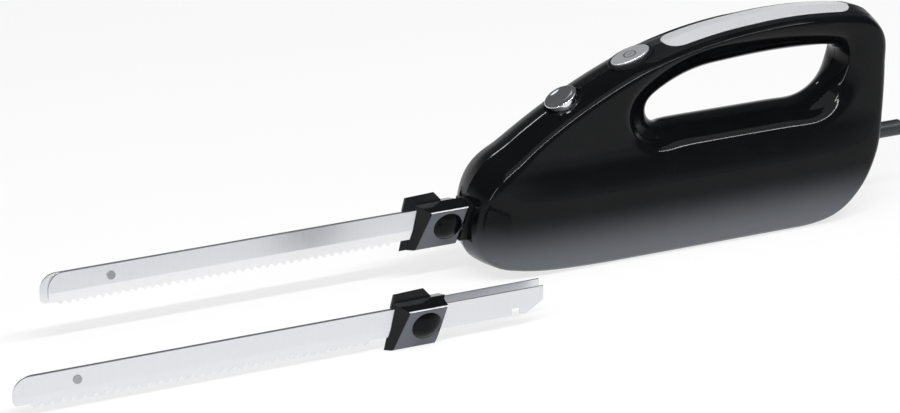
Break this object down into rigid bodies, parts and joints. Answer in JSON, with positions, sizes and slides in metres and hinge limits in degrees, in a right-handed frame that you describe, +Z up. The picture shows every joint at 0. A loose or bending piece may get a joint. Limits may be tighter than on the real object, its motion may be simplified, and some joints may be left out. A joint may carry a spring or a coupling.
{
  "type": "electric carving knife",
  "caption": "Corded electric carving knife: moulded body with a closed grip, toothed blades that slide against each other side by side, and a spare pair of blades.",
  "frame": {"origin": "centre of the flat base, on the surface the knife stands on", "axes": "+X to the cord end, blades towards -X, +Z up; the near shell is on -Y"},
  "size_m": [0.55, 0.1129, 0.1223],
  "materials": {
    "gloss_black": "high gloss",
    "satin_black": "satin",
    "guard_black": "semi-gloss",
    "silver_plate": "satin silver",
    "chrome": "polished",
    "mark_grey": "satin",
    "blade_steel": "fine ground",
    "hard_steel": "machined",
    "spring_steel": "drawn",
    "screw_steel": "zinc plated",
    "laminated_iron": "laminated",
    "copper_wire": "enamelled wire",
    "copper_bars": "turned",
    "bronze": "sintered",
    "brass": "stamped",
    "carbon": "pressed",
    "white_nylon": "moulded",
    "grey_nylon": "moulded",
    "soft_grey": "soft"
  },
  "bodies": {
    "housing": {"left_shell": "gloss_black", "right_shell": "gloss_black", "top_trim": "satin_black", "trim_insert": "silver_plate", "release_bezel": "satin_black", "power_bezel": "satin_black", "housing_screws": "screw_steel", "blade_guide": "satin_black", "cord_guard": "soft_grey", "cord_clamp": "grey_nylon", "clamp_screws": "screw_steel", "gear_frame": "hard_steel", "front_bearing": "bronze", "worm_bearing": "bronze", "rear_bearing": "bronze", "stator_core": "laminated_iron", "field_coils": "copper_wire", "motor_bracket": "grey_nylon", "motor_screws": "screw_steel", "brush_holders": "brass", "brushes": "carbon", "power_switch": "grey_nylon", "release_spring": "spring_steel", "power_spring": "spring_steel"},
    "armature": {"armature_core": "laminated_iron", "armature_winding": "copper_wire", "commutator": "copper_bars", "motor_shaft": "hard_steel", "worm": "hard_steel", "cooling_fan": "white_nylon"},
    "gear": {"drive_gear": "white_nylon", "gear_axle": "hard_steel", "near_eccentric": "hard_steel", "far_eccentric": "hard_steel"},
    "near_drive": {"near_carrier": "white_nylon", "near_latch": "spring_steel"},
    "far_drive": {"far_carrier": "white_nylon", "far_latch": "spring_steel"},
    "near_set": {"near_blade": "blade_steel", "near_guard": "guard_black", "near_guard_cap": "guard_black", "blade_rivet": "blade_steel"},
    "far_set": {"far_blade": "blade_steel", "far_guard": "guard_black", "far_guard_cap": "guard_black"},
    "release": {"release_button": "chrome", "release_plunger": "grey_nylon"},
    "power": {"power_button": "silver_plate", "power_mark": "mark_grey", "switch_actuator": "white_nylon"},
    "spare_near": {"spare_near_blade": "blade_steel", "spare_near_guard": "guard_black", "spare_near_guard_cap": "guard_black", "spare_blade_rivet": "blade_steel"},
    "spare_far": {"spare_far_blade": "blade_steel", "spare_far_guard": "guard_black", "spare_far_guard_cap": "guard_black"}
  },
  "joints": [
    {"name": "armature_spin", "type": "hinge", "parent": "housing", "child": "armature", "pos_m": [0, 0, 0.023], "axis": [1, 0, 0], "range_deg": [0, 5400]},
    {"name": "gear_spin", "type": "hinge", "parent": "housing", "child": "gear", "pos_m": [-0.058, 0, 0.042], "axis": [0, 1, 0], "range_deg": [0, 180]},
    {"name": "near_carrier_slide", "type": "slide", "parent": "housing", "child": "near_drive", "axis": [1, 0, 0], "range_m": [-0.0044, 0]},
    {"name": "far_carrier_slide", "type": "slide", "parent": "housing", "child": "far_drive", "axis": [1, 0, 0], "range_m": [0, 0.0044]},
    {"name": "near_blade_pull", "type": "slide", "parent": "near_drive", "child": "near_set", "axis": [-1, 0, 0], "range_m": [0, 0.066], "deforming": ["near_latch", "far_latch"]},
    {"name": "far_blade_pull", "type": "slide", "parent": "far_drive", "child": "far_set", "axis": [-1, 0, 0], "range_m": [0, 0.066]},
    {"name": "release_press", "type": "slide", "parent": "housing", "child": "release", "axis": [0.4737, 0, -0.8807], "range_m": [0, 0.0035], "stiffness_N_per_m": 400, "springref_m": -0.003, "deforming": ["release_spring"]},
    {"name": "power_press", "type": "slide", "parent": "housing", "child": "power", "axis": [0.3117, 0, -0.9502], "range_m": [0, 0.002], "stiffness_N_per_m": 500, "springref_m": -0.002, "deforming": ["power_spring"]},
    {"name": "spare_lift", "type": "slide", "parent": "housing", "child": "spare_near", "axis": [0, 0, 1], "range_m": [0, 0.06]},
    {"name": "spare_far_slide", "type": "slide", "parent": "spare_near", "child": "spare_far", "axis": [1, 0, 0], "range_m": [-0.0063, 0.0025]}
  ],
  "couplings": [
    {"joint": "gear_spin", "follows": "armature_spin", "ratio": 0.033333},
    {"joint": "near_carrier_slide", "follows": "armature_spin", "m_per_rad": -0.000046685},
    {"joint": "far_carrier_slide", "follows": "armature_spin", "m_per_rad": 0.000046685},
    {"joint": "far_blade_pull", "follows": "near_blade_pull", "ratio": 1}
  ]
}
